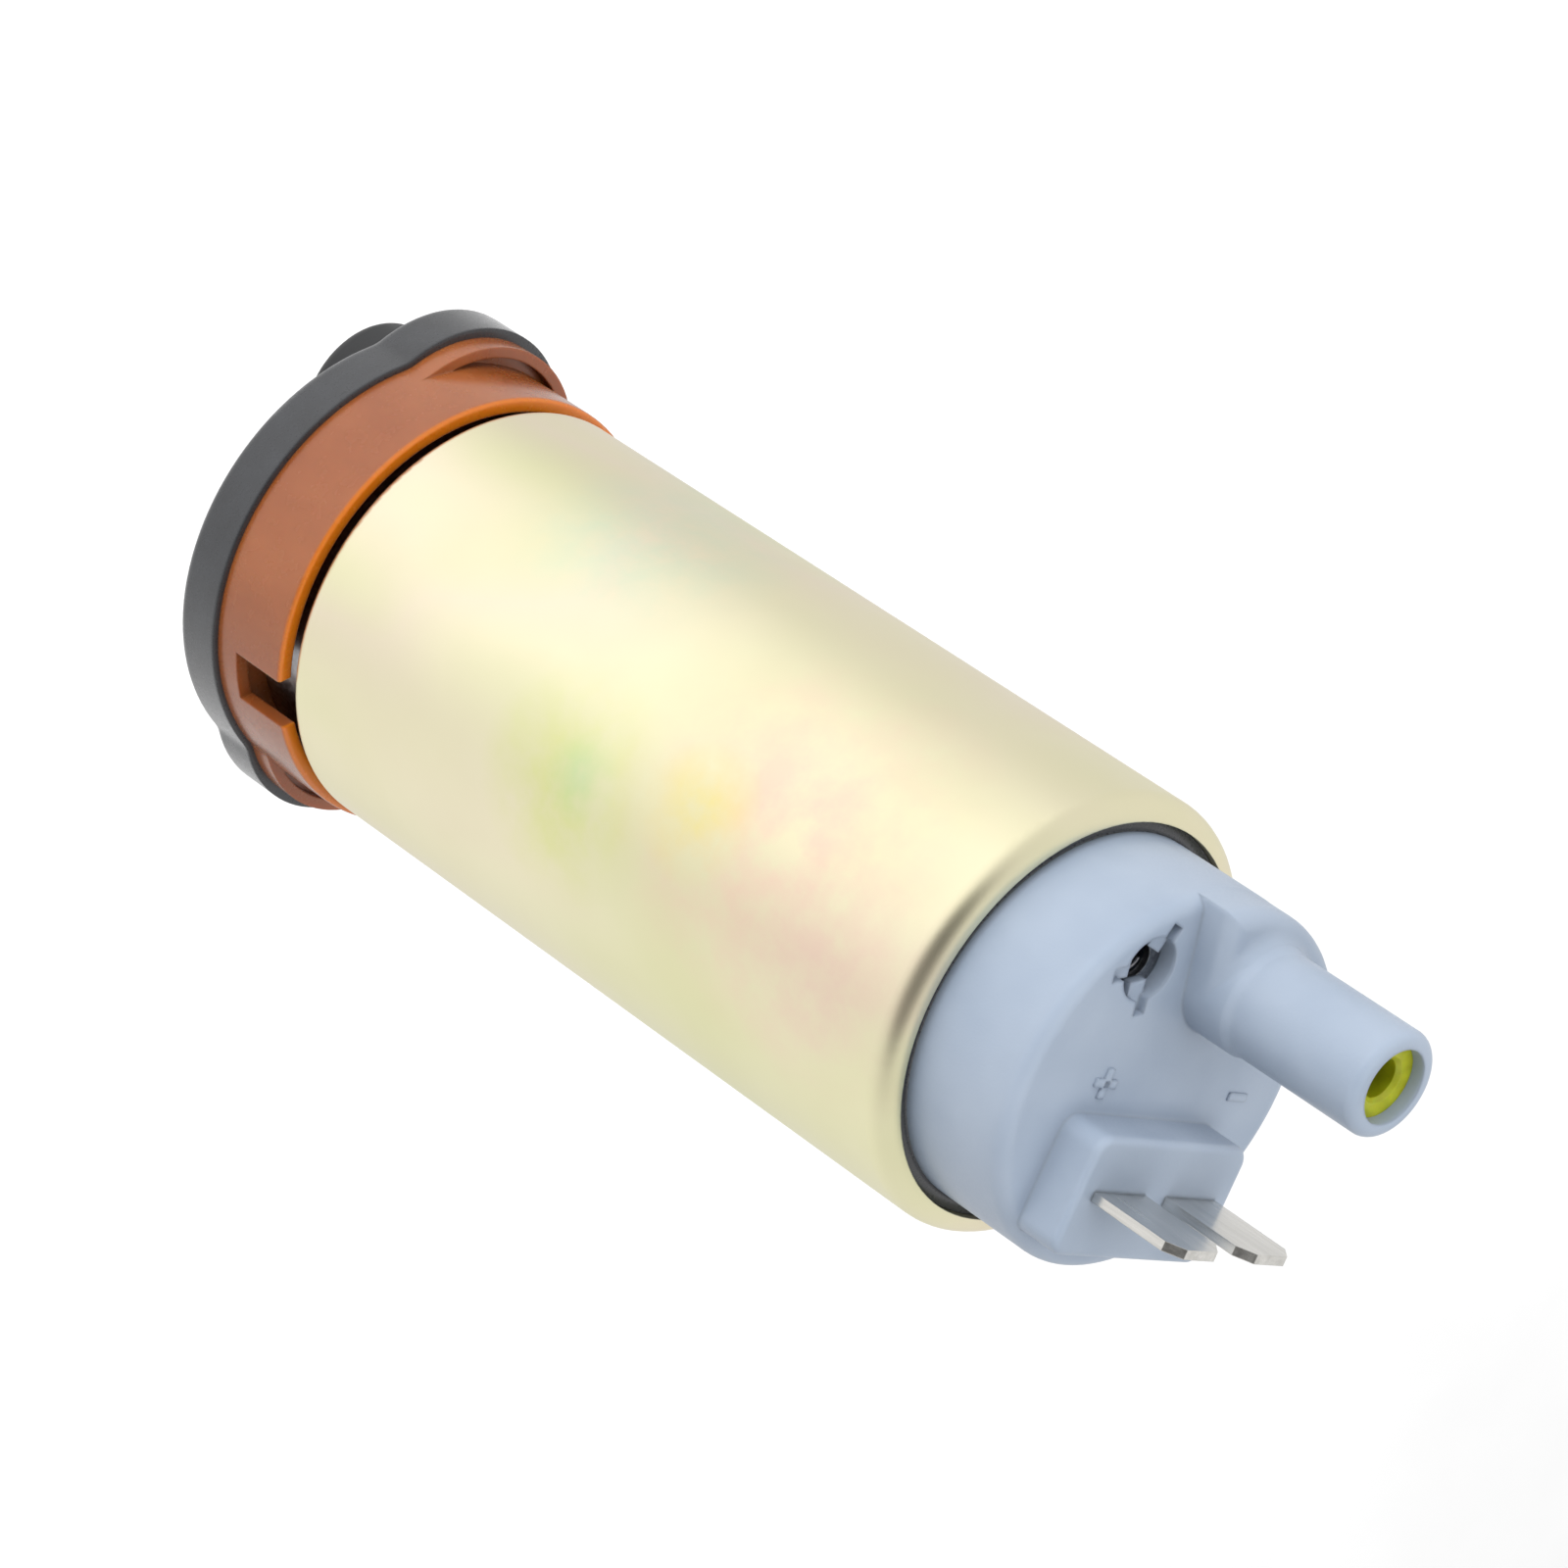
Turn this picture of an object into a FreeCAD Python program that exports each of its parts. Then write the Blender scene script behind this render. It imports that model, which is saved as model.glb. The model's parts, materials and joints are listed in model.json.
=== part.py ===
import FreeCAD, Part
import math
import os

os.makedirs("parts", exist_ok=True)

# Electric in-tank fuel pump: a brushed motor and a side-channel turbine stacked in one steel can.
# Millimetres, +Z from the inlet end up to the outlet, Z = 0 on the rear face of the rubber base pad.
# The can axis is the Z axis, the outlet spigot stands on the +Y side and the terminals on the -Y side.

V = FreeCAD.Vector
UP = V(0, 0, 1)
ORIGIN = V(0, 0, 0)

# Fits
SLIP = 0.05
SEATED = 0.02
BEARING_CLEARANCE = 0.03
BRUSH_GAP = 0.1
VALVE_SEAT_GAP = 0.08
CAN_SLEEVE_GAP = 0.05

# Can
CAN_R = 19.0
CAN_WALL = 1.3
CAN_SHOULDER_R = 2.0
CAN_FOOT_R = 1.0
TOP_LIP_REACH = 1.86
BOTTOM_LIP_REACH = 2.5

# Inlet end outside the can
PAD_THICK = 4.7
PAD_MARGIN = 0.5
PAD_LOBE_RISE = 2.3
PAD_EDGE_R = 0.8
LOBE_R = 11.5
LOBE_BLEND_R = 3.5
COLLAR_FLOOR = 2.1
COLLAR_OVER_CAN = 0.5
COLLAR_WALL = 1.2
COLLAR_RISE = 6.2
COLLAR_LOBE_RISE = 2.0
COLLAR_EDGE_R = 0.35
COLLAR_CAN_GAP = 0.9
EAR_POCKET_DEPTH = 1.2
EAR_WALL = 0.95
NOTCH_AZ = (-147.0, 33.0)
NOTCH_WIDTH = 4.6
NOTCH_DEPTH = 5.8
PORT_SET_IN = 2.9
NECK_BORE_R = 3.6
NECK_SPIGOT_WALL = 1.0
NECK_STEP = 2.4
NECK_ENTRY = 3.0
NECK_DROP = 7.4
NECK_RIM_R = 1.2

# Turbine
INLET_FLANGE_THICK = 3.0
CHAMBER_WALL = 1.75
IMPELLER_THICK = 2.8
IMPELLER_SIDE_GAP = 0.05
CHAMBER_GAP = 0.4
VANE_COUNT = 31
VANE_GAP = 1.7
VANE_REACH = 3.2
VANE_POCKET_DEPTH = 1.1
CHANNEL_WIDTH = 3.0
INLET_CHANNEL_DEPTH = 2.2
OUTLET_CHANNEL_DEPTH = 1.4
CHANNEL_START_AZ = 75.0
CHANNEL_SWEEP = 315.0
OUTLET_PORT_R = 1.4
PUMP_PLATE_THICK = 3.8
HUB_RISE = 1.6
HUB_WALL = 1.2
MAGNET_SEAT_RISE = 3.0
MAGNET_SEAT_WALL = 1.8

# Motor
SHAFT_R = 2.0
SHAFT_FLAT = 0.5
BUTTON_MARGIN = 0.3
BUTTON_THICK = 1.0
BUTTON_SET_DOWN = 1.4
SHAFT_END_GAP = 0.1
SHAFT_OVERRUN = 1.0
SHAFT_HOLE_GAP = 0.4
LOWER_BEARING_WALL = 2.0
LOWER_BEARING_LENGTH = 4.4
UPPER_BEARING_WALL = 1.5
UPPER_BEARING_LENGTH = 5.0
MAGNET_LENGTH = 28.0
MAGNET_THICK = 4.65
MAGNET_SPAN = 140.0
CLIP_END_GAP = 0.7
CLIP_SHEET = 0.55
CLIP_LEG = 3.6
AIR_GAP = 0.5
CORE_SET_IN = 2.0
SLOT_COUNT = 8
TOOTH_WIDE = 1.676008291
SLOT_SET_IN = 4.3
SLOT_MOUTH = 1.6
WINDING_SHAFT_GAP = 3.8
WINDING_SET_IN = 1.1
WINDING_CORNER = 1.0
LOWER_END_TURN = 3.4
UPPER_END_TURN = 4.0
COMMUTATOR_MARGIN = 1.2
COMMUTATOR_THICK = 4.5
COMMUTATOR_SLOT = 0.6
COMMUTATOR_SLOT_DEPTH = 1.5
COMMUTATOR_HUB_WALL = 1.4

# Brush gear
BRUSH_X = 7.0
BRUSH_WIDE = 4.0
BRUSH_DEEP = 5.0
BRUSH_LENGTH = 9.0
BRUSH_SHOW = 1.9
BRUSH_TUBE_WALL = 1.25
BRUSH_SPRING_SET_IN = 0.5
BRUSH_SPRING_WIRE = 0.4
BRUSH_SPRING_LENGTH = 10.4
BRUSH_SPRING_TURNS = 7
LEAD_R = 0.45
LEAD_SET_DOWN = 1.6
CHOKE_ROD_R = 1.5
CHOKE_COIL_R = 2.2
CHOKE_LENGTH = 12.0
CHOKE_END = 1.0

# Outlet cover
SKIRT_LENGTH = 28.2
SKIRT_GAP = 0.1
SKIRT_WALL = 1.6
SKIRT_START_GAP = 0.3
FLANGE_DROP = 2.1
SEAL_WIDE = 1.04
SEAL_BEVEL = 0.3
COVER_RISE = 10.0
COVER_EDGE_R = 1.3
COVER_WALL = 2.5
ROOF_THICK = 4.0
ROOM_STEP = 4.4
BEARING_BOSS_WALL = 1.1
BEARING_RISE = 6.5
BRUSH_TUBE_CAP = 2.0

# Terminals
BLADE_X = 4.4
BLADE_Y = -7.8
BLADE_WIDE = 6.3
BLADE_THICK = 0.8
BLADE_OUT = 8.9
BLADE_CHAMFER = 1.3
STEM_WIDE = 3.0
STEM_IN = 2.5
BLOCK_SIDE_MARGIN = 1.75
BLOCK_FRONT_MARGIN = 5.2
BLOCK_BACK_MARGIN = 4.9
BLOCK_RISE = 4.0
BLOCK_CORNER_R = 1.5
BLOCK_TOP_R = 0.6

# Outlet spigot and check valve
SPIGOT_X = 2.4
SPIGOT_SET_IN = 6.8
SPIGOT_R = 4.5
SPIGOT_RISE = 17.6
SPIGOT_TIP_R = 0.9
SPIGOT_WALL = 1.35
FOOT_MARGIN = 0.23
FOOT_RISE = 3.2
FOOT_HALF_ANGLE = 32.0
FOOT_ROUND_R = 1.5
FOOT_FLARE_R = 1.6
ROOT_TAPER = 0.8
VALVE_SEAT_LEDGE = 1.15
VALVE_SEAT_RISE = 3.6
POPPET_LAP = 0.6
POPPET_HEAD = 1.5
POPPET_NOSE = 1.4
POPPET_STEM_R = 0.9
POPPET_STEM_LENGTH = 6.9
RETAINER_SET_BACK = 1.2
RETAINER_LENGTH = 3.9
RETAINER_STEM_GAP = 0.75
CHECK_SPRING_SET_IN = 0.4
CHECK_SPRING_WIRE = 0.35
CHECK_SPRING_TURNS = 5

# Relief valve
RELIEF_X = -7.3
RELIEF_SET_IN = 6.9
RELIEF_BALL_R = 2.0
RELIEF_FLOW_GAP = 0.7
RELIEF_DEPTH = 9.5
RELIEF_SEAT_LAP = 0.7
RELIEF_BOSS_WALL = 1.3
RELIEF_BOSS_FLOOR = 3.0
RELIEF_SPRING_SET_IN = 0.7
RELIEF_SPRING_WIRE = 0.4
RELIEF_SPRING_TURNS = 4
RELIEF_RING_WIDE = 1.2
RELIEF_RING_THICK = 0.6
RELIEF_RING_DROP = 1.6
TAB_AZ = (74.0, 193.0, 286.0)
TAB_WIDE = 1.7
TAB_REACH = 1.3
TAB_THICK = 0.8
NOTCH_SIDE = 1.2

# Heights, stacked from the rear face of the pad up
Z_COLLAR = PAD_THICK
Z_INLET_COVER = Z_COLLAR + COLLAR_FLOOR
Z_COLLAR_TOP = Z_INLET_COVER + COLLAR_RISE
Z_CAN = Z_COLLAR_TOP + COLLAR_CAN_GAP
Z_INLET_FLANGE = Z_CAN + CAN_WALL
Z_CHAMBER = Z_INLET_FLANGE + INLET_FLANGE_THICK
Z_PUMP_PLATE = Z_CHAMBER + IMPELLER_THICK + 2 * IMPELLER_SIDE_GAP
Z_PLATE_TOP = Z_PUMP_PLATE + PUMP_PLATE_THICK
Z_MAGNET = Z_PLATE_TOP + MAGNET_SEAT_RISE
Z_MAGNET_TOP = Z_MAGNET + MAGNET_LENGTH
Z_SKIRT = Z_MAGNET_TOP + SKIRT_START_GAP
Z_FLANGE = Z_SKIRT + SKIRT_LENGTH
Z_LIP = Z_FLANGE + FLANGE_DROP
Z_FACE = Z_LIP + COVER_RISE
Z_ROOF = Z_FACE - ROOF_THICK
Z_ROOM_STEP = Z_FLANGE - ROOM_STEP
Z_CORE = Z_MAGNET + CORE_SET_IN
Z_CORE_TOP = Z_MAGNET_TOP - CORE_SET_IN
Z_COMMUTATOR = Z_CORE_TOP + UPPER_END_TURN
Z_COMMUTATOR_TOP = Z_COMMUTATOR + COMMUTATOR_THICK
Z_BRUSH = Z_COMMUTATOR_TOP + BRUSH_GAP
Z_BRUSH_TOP = Z_BRUSH + BRUSH_LENGTH
Z_BRUSH_CAP = Z_BRUSH_TOP + BRUSH_SPRING_LENGTH
Z_UPPER_BEARING = Z_COMMUTATOR_TOP + BEARING_RISE
Z_BUTTON = Z_CHAMBER - BUTTON_THICK - BUTTON_SET_DOWN
Z_SHAFT = Z_BUTTON + BUTTON_THICK + SHAFT_END_GAP
Z_SHAFT_TOP = Z_UPPER_BEARING + UPPER_BEARING_LENGTH + SHAFT_OVERRUN
Z_LOWER_BEARING = Z_PLATE_TOP + HUB_RISE - LOWER_BEARING_LENGTH
Z_TERMINAL = Z_ROOF - STEM_IN
Z_CHOKE = Z_TERMINAL - CHOKE_LENGTH
Z_BLOCK_TOP = Z_FACE + BLOCK_RISE
Z_BLADE_TIP = Z_BLOCK_TOP + BLADE_OUT
Z_SPIGOT_TIP = Z_FACE + SPIGOT_RISE
Z_VALVE_SEAT = Z_FACE + VALVE_SEAT_RISE
Z_POPPET = Z_VALVE_SEAT + VALVE_SEAT_GAP
Z_RETAINER_TOP = Z_SPIGOT_TIP - RETAINER_SET_BACK
Z_RETAINER = Z_RETAINER_TOP - RETAINER_LENGTH
Z_RELIEF_SEAT = Z_FACE - RELIEF_DEPTH
Z_RELIEF_RING_TOP = Z_FACE - RELIEF_RING_DROP
Z_RELIEF_RING = Z_RELIEF_RING_TOP - RELIEF_RING_THICK

# Radii and offsets, from the can inwards and from the shaft outwards
CAN_INNER_R = CAN_R - CAN_WALL
CORE_FIT_R = CAN_INNER_R - CAN_SLEEVE_GAP
TOP_LIP_R = CAN_R - TOP_LIP_REACH
BOTTOM_LIP_R = CAN_R - BOTTOM_LIP_REACH
INLET_BOSS_R = BOTTOM_LIP_R - SLIP
COLLAR_R = CAN_R + COLLAR_OVER_CAN
COLLAR_INNER_R = COLLAR_R - COLLAR_WALL
COLLAR_LOBE_REACH = COLLAR_R + COLLAR_LOBE_RISE
PAD_R = COLLAR_R + PAD_MARGIN
PAD_LOBE_REACH = PAD_R + PAD_LOBE_RISE
CHAMBER_R = CORE_FIT_R - CHAMBER_WALL
IMPELLER_R = CHAMBER_R - CHAMBER_GAP
VANE_ROOT_R = IMPELLER_R - VANE_REACH
CHANNEL_R = IMPELLER_R - VANE_REACH / 2
PORT_Y = CHANNEL_R - PORT_SET_IN
NECK_SPIGOT_R = NECK_BORE_R + NECK_SPIGOT_WALL
NECK_R = NECK_SPIGOT_R + NECK_STEP
BUTTON_R = SHAFT_R + BUTTON_MARGIN
LOWER_BEARING_R = SHAFT_R + LOWER_BEARING_WALL
UPPER_BEARING_R = SHAFT_R + UPPER_BEARING_WALL
MAGNET_INNER_R = CORE_FIT_R - MAGNET_THICK
CORE_R = MAGNET_INNER_R - AIR_GAP
SLOT_CENTRE_R = CORE_R - SLOT_SET_IN
SLOT_R = SLOT_CENTRE_R * math.sin(math.pi / SLOT_COUNT) - TOOTH_WIDE / 2
CLIP_SPAN = 180.0 - MAGNET_SPAN - 2 * CLIP_END_GAP
WINDING_INNER_R = SHAFT_R + WINDING_SHAFT_GAP
WINDING_OUTER_R = CORE_R - WINDING_SET_IN
COMMUTATOR_R = BRUSH_X + BRUSH_WIDE / 2 + COMMUTATOR_MARGIN
COMMUTATOR_HUB_R = SHAFT_R + COMMUTATOR_HUB_WALL
BRUSH_SPRING_R = BRUSH_WIDE / 2 - BRUSH_SPRING_SET_IN
COVER_R = TOP_LIP_R - SEAL_WIDE
SPIGOT_Y = COVER_R - SPIGOT_SET_IN
RELIEF_Y = COVER_R - RELIEF_SET_IN
BLOCK_HALF = BLADE_X + BLADE_WIDE / 2 + BLOCK_SIDE_MARGIN
BLOCK_Y = (BLADE_Y - BLOCK_FRONT_MARGIN, BLADE_Y + BLOCK_BACK_MARGIN)
SPIGOT_BORE_R = SPIGOT_R - SPIGOT_WALL
VALVE_SEAT_R = SPIGOT_BORE_R - VALVE_SEAT_LEDGE
POPPET_R = VALVE_SEAT_R + POPPET_LAP
RETAINER_BORE_R = POPPET_STEM_R + RETAINER_STEM_GAP
CHECK_SPRING_R = POPPET_R - CHECK_SPRING_SET_IN
RELIEF_R = RELIEF_BALL_R + RELIEF_FLOW_GAP
RELIEF_PORT_R = RELIEF_BALL_R - RELIEF_SEAT_LAP
RELIEF_SPRING_R = RELIEF_BALL_R - RELIEF_SPRING_SET_IN
RELIEF_RING_BORE_R = RELIEF_R - RELIEF_RING_WIDE
SKIRT_R = CAN_INNER_R - SKIRT_GAP
ROOM_R = SKIRT_R - SKIRT_WALL
UPPER_ROOM_R = COVER_R - COVER_WALL
BRUSH_TUBE_X = BRUSH_WIDE / 2 + SLIP
BRUSH_TUBE_Y = BRUSH_DEEP / 2 + SLIP


def cylinder(radius, z0, z1, x=0.0, y=0.0):
    return Part.makeCylinder(radius, z1 - z0, V(x, y, z0), UP)


def tube(outer, inner, z0, z1, x=0.0, y=0.0):
    return cylinder(outer, z0, z1, x, y).cut(cylinder(inner, z0, z1, x, y))


def block(x0, x1, y0, y1, z0, z1):
    return Part.makeBox(x1 - x0, y1 - y0, z1 - z0, V(x0, y0, z0))


def turned_about_z(shape, degrees, x=0.0, y=0.0):
    """A copy of the shape, turned about an upright axis."""
    copy = shape.copy()
    copy.rotate(V(x, y, 0), UP, degrees)
    return copy


def sector(outer, inner, z0, z1, span, mid_az):
    """A piece of tube that covers span degrees about mid_az."""
    wedge = Part.makeCylinder(outer, z1 - z0, V(0, 0, z0), UP, span)
    wedge = wedge.cut(cylinder(inner, z0, z1))
    return turned_about_z(wedge, mid_az - span / 2)


def around(centre, radius, degrees):
    """The (r, z) point on a profile arc about centre."""
    angle = math.radians(degrees)
    return (centre[0] + radius * math.cos(angle), centre[1] + radius * math.sin(angle))


def turned(start, *moves):
    """A solid of revolution. A move is a point (r, z), or an arc as (middle, end)."""
    edges = []
    here = V(start[0], 0, start[1])
    for move in moves + (start,):
        if isinstance(move[0], tuple):
            middle = V(move[0][0], 0, move[0][1])
            there = V(move[1][0], 0, move[1][1])
            edges.append(Part.Arc(here, middle, there).toShape())
        else:
            there = V(move[0], 0, move[1])
            edges.append(Part.LineSegment(here, there).toShape())
        here = there
    return Part.Face(Part.Wire(edges)).revolve(ORIGIN, UP, 360)


def coil_spring(radius, wire, turns, z0, z1, x=0.0, y=0.0):
    """A compression spring of square wire between two heights."""
    height = z1 - z0 - wire
    helix = Part.makeHelix(height / turns, height, radius)
    half = wire / 2
    corners = [V(radius + a * half, 0, b * half) for a, b in ((-1, -1), (1, -1), (1, 1), (-1, 1), (-1, -1))]
    spring = Part.Wire(helix.Edges).makePipeShell([Part.makePolygon(corners)], True, True)
    spring.translate(V(x, y, z0 + half))
    return spring


def lobed_plate(radius, reach, z0, z1):
    """A round plate with two wide ears on the Y axis, blended into the circle."""
    plate = cylinder(radius, z0, z1)
    for side in (-1, 1):
        plate = plate.fuse(cylinder(LOBE_R, z0, z1, 0, side * (reach - LOBE_R)))
    plate = plate.removeSplitter()
    crease = [edge for edge in plate.Edges if is_crease(edge, z1 - z0)]
    return plate.makeFillet(LOBE_BLEND_R, crease)


def is_crease(edge, height):
    """An upright edge off both axes, where an ear meets the circle."""
    ends = [vertex.Point for vertex in edge.Vertexes]
    if len(ends) != 2 or abs(abs(ends[0].z - ends[1].z) - height) > 1e-6:
        return False
    return abs(ends[0].x) > 1.0 and abs(ends[0].y) > 1.0 and ends[0].sub(ends[1]).Length < height + 1e-6


def save(node, shape):
    shape.exportStep("parts/" + node + ".step")


def can():
    """Drawn steel tube, rolled inwards at both ends over what it holds."""
    inner_corner = CAN_SHOULDER_R - CAN_WALL
    top = (CAN_R - CAN_SHOULDER_R, Z_LIP - CAN_SHOULDER_R)
    foot = (CAN_R - CAN_FOOT_R, Z_CAN + CAN_FOOT_R)
    top_lip_az = math.degrees(math.acos((TOP_LIP_R - top[0]) / CAN_SHOULDER_R))
    top_inner_az = math.degrees(math.acos((TOP_LIP_R - top[0]) / inner_corner))
    return turned(
        (BOTTOM_LIP_R, Z_CAN),
        (foot[0], Z_CAN),
        (around(foot, CAN_FOOT_R, -45), (CAN_R, foot[1])),
        (CAN_R, top[1]),
        (around(top, CAN_SHOULDER_R, top_lip_az / 2), around(top, CAN_SHOULDER_R, top_lip_az)),
        around(top, inner_corner, top_inner_az),
        (CAN_INNER_R, top[1]),
        (CAN_INNER_R, Z_INLET_FLANGE),
        (BOTTOM_LIP_R, Z_INLET_FLANGE),
    )


def base_pad():
    """Rubber pad under the collar, with the hole that the inlet neck comes through."""
    pad = lobed_plate(PAD_R, PAD_LOBE_REACH, 0, PAD_THICK)
    rims = [edge for edge in pad.Edges if edge.BoundBox.ZLength < 1e-6 and edge.BoundBox.ZMax < 1e-6]
    pad = pad.makeFillet(PAD_EDGE_R, rims)
    return pad.cut(cylinder(NECK_R + SLIP, 0, PAD_THICK, 0, PORT_Y))


def inlet_collar():
    """Moulded cup behind the can: lobed floor, thin wall, two open notches, a pocket in each ear."""
    collar = lobed_plate(COLLAR_R, COLLAR_LOBE_REACH, Z_COLLAR, Z_INLET_COVER)
    wall = cylinder(COLLAR_R, Z_COLLAR, Z_COLLAR_TOP)
    rim = [edge for edge in wall.Edges if edge.BoundBox.ZMin > Z_COLLAR_TOP - 1e-4]
    collar = collar.fuse(wall.makeFillet(COLLAR_EDGE_R, rim)).removeSplitter()
    collar = collar.cut(cylinder(COLLAR_INNER_R, Z_INLET_COVER, Z_COLLAR_TOP))
    collar = collar.cut(cylinder(NECK_SPIGOT_R + SLIP, Z_COLLAR, Z_INLET_COVER, 0, PORT_Y))
    for azimuth in NOTCH_AZ:
        notch = block(COLLAR_INNER_R - 1, COLLAR_R + 1, -NOTCH_WIDTH / 2, NOTCH_WIDTH / 2,
                      Z_COLLAR_TOP - NOTCH_DEPTH, Z_COLLAR_TOP)
        collar = collar.cut(turned_about_z(notch, azimuth))
    return collar.cut([ear_pocket(side) for side in (-1, 1)])


def ear_pocket(side):
    """Crescent sunk into an ear, between its rim and the round wall."""
    z0 = Z_INLET_COVER - EAR_POCKET_DEPTH
    pocket = cylinder(LOBE_R - EAR_WALL, z0, Z_INLET_COVER, 0, side * (COLLAR_LOBE_REACH - LOBE_R))
    return pocket.cut(cylinder(COLLAR_R, z0, Z_INLET_COVER))


def inlet_neck():
    """Flanged inlet stub: wide below the collar, narrower where it enters the inlet cover."""
    rim = (NECK_R - NECK_RIM_R, -NECK_DROP + NECK_RIM_R)
    neck = turned(
        (NECK_BORE_R, -NECK_DROP),
        (rim[0], -NECK_DROP),
        (around(rim, NECK_RIM_R, -45), (NECK_R, rim[1])),
        (NECK_R, Z_COLLAR),
        (NECK_SPIGOT_R, Z_COLLAR),
        (NECK_SPIGOT_R, Z_INLET_COVER + NECK_ENTRY),
        (NECK_BORE_R, Z_INLET_COVER + NECK_ENTRY),
    )
    neck.translate(V(0, PORT_Y, 0))
    return neck


def side_channel(z0, z1):
    """The open-ended ring channel that the vanes push the fuel along."""
    half = CHANNEL_WIDTH / 2
    mid_az = CHANNEL_START_AZ + CHANNEL_SWEEP / 2
    return sector(CHANNEL_R + half, CHANNEL_R - half, z0, z1, CHANNEL_SWEEP, mid_az)


def inlet_cover():
    """Pump inlet: a boss through the can's rolled end, a flange with the side channel, the button's pocket."""
    cover = cylinder(INLET_BOSS_R, Z_INLET_COVER, Z_CHAMBER)
    cover = cover.fuse(cylinder(CORE_FIT_R, Z_INLET_FLANGE, Z_CHAMBER)).removeSplitter()
    z_channel = Z_CHAMBER - INLET_CHANNEL_DEPTH
    socket = cylinder(NECK_SPIGOT_R, Z_INLET_COVER, Z_INLET_COVER + NECK_ENTRY, 0, PORT_Y)
    port = cylinder(NECK_BORE_R, Z_INLET_COVER, z_channel + 0.2, 0, PORT_Y)
    cover = cover.cut([socket, port]).cut(side_channel(z_channel, Z_CHAMBER))
    return cover.cut(cylinder(BUTTON_R + SEATED, Z_BUTTON, Z_CHAMBER))


def thrust_button():
    return cylinder(BUTTON_R, Z_BUTTON, Z_BUTTON + BUTTON_THICK)


def impeller():
    """Turbine wheel: a flat disc whose rim is cut into vanes from both sides, on a D-shaped bore."""
    z0 = Z_CHAMBER + IMPELLER_SIDE_GAP
    z1 = z0 + IMPELLER_THICK
    wheel = cylinder(IMPELLER_R, z0, z1)
    pitch = 360.0 / VANE_COUNT
    half = VANE_GAP / 2
    lower = block(VANE_ROOT_R, IMPELLER_R + 1, -half, half, z0, z0 + VANE_POCKET_DEPTH)
    upper = block(VANE_ROOT_R, IMPELLER_R + 1, -half, half, z1 - VANE_POCKET_DEPTH, z1)
    pockets = []
    for number in range(VANE_COUNT):
        pockets.append(turned_about_z(lower, number * pitch))
        pockets.append(turned_about_z(upper, (number + 0.5) * pitch))
    bore = cylinder(SHAFT_R + SLIP, z0, z1)
    flat = SHAFT_R - SHAFT_FLAT + SLIP
    bore = bore.cut(block(flat, SHAFT_R + 1, -SHAFT_R - 1, SHAFT_R + 1, z0, z1))
    return wheel.cut(pockets).cut(bore)


def pump_plate():
    """Upper pump plate: chamber wall, outlet channel and port, bearing hub and the magnets' seat."""
    plate = cylinder(CORE_FIT_R, Z_CHAMBER, Z_MAGNET)
    plate = plate.cut(cylinder(CHAMBER_R, Z_CHAMBER, Z_PUMP_PLATE))
    plate = plate.cut(cylinder(CORE_FIT_R - MAGNET_SEAT_WALL, Z_PLATE_TOP, Z_MAGNET))
    plate = plate.fuse(cylinder(LOWER_BEARING_R + HUB_WALL, Z_PUMP_PLATE, Z_PLATE_TOP + HUB_RISE)).removeSplitter()
    plate = plate.cut(cylinder(LOWER_BEARING_R, Z_LOWER_BEARING, Z_PLATE_TOP + HUB_RISE))
    plate = plate.cut(cylinder(SHAFT_R + SHAFT_HOLE_GAP, Z_PUMP_PLATE, Z_LOWER_BEARING))
    plate = plate.cut(side_channel(Z_PUMP_PLATE, Z_PUMP_PLATE + OUTLET_CHANNEL_DEPTH))
    exit_az = math.radians(CHANNEL_START_AZ + CHANNEL_SWEEP - 7.0)
    exit_x = CHANNEL_R * math.cos(exit_az)
    exit_y = CHANNEL_R * math.sin(exit_az)
    return plate.cut(cylinder(OUTLET_PORT_R, Z_PUMP_PLATE, Z_PLATE_TOP, exit_x, exit_y))


def lower_bearing():
    return tube(LOWER_BEARING_R, SHAFT_R + BEARING_CLEARANCE, Z_LOWER_BEARING, Z_LOWER_BEARING + LOWER_BEARING_LENGTH)


def upper_bearing():
    return tube(UPPER_BEARING_R, SHAFT_R + BEARING_CLEARANCE, Z_UPPER_BEARING, Z_UPPER_BEARING + UPPER_BEARING_LENGTH)


def motor_shaft():
    """Ground steel shaft with a flat that drives the impeller."""
    shaft = cylinder(SHAFT_R, Z_SHAFT, Z_SHAFT_TOP)
    flat = SHAFT_R - SHAFT_FLAT
    return shaft.cut(block(flat, SHAFT_R + 1, -SHAFT_R - 1, SHAFT_R + 1, Z_SHAFT, Z_PUMP_PLATE))


def slot_posts(radius, z0, z1):
    """One upright post for each slot of the laminations."""
    posts = []
    for number in range(SLOT_COUNT):
        angle = math.radians(360.0 * number / SLOT_COUNT)
        x = SLOT_CENTRE_R * math.cos(angle)
        y = SLOT_CENTRE_R * math.sin(angle)
        posts.append(cylinder(radius, z0, z1, x, y))
    return posts


def armature_core():
    """Stack of laminations with round slots that open to the rim."""
    core = tube(CORE_R, SHAFT_R, Z_CORE, Z_CORE_TOP)
    mouth = block(SLOT_CENTRE_R, CORE_R + 1, -SLOT_MOUTH / 2, SLOT_MOUTH / 2, Z_CORE, Z_CORE_TOP)
    cuts = slot_posts(SLOT_R, Z_CORE, Z_CORE_TOP)
    for number in range(SLOT_COUNT):
        cuts.append(turned_about_z(mouth, 360.0 * number / SLOT_COUNT))
    return core.cut(cuts)


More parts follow.
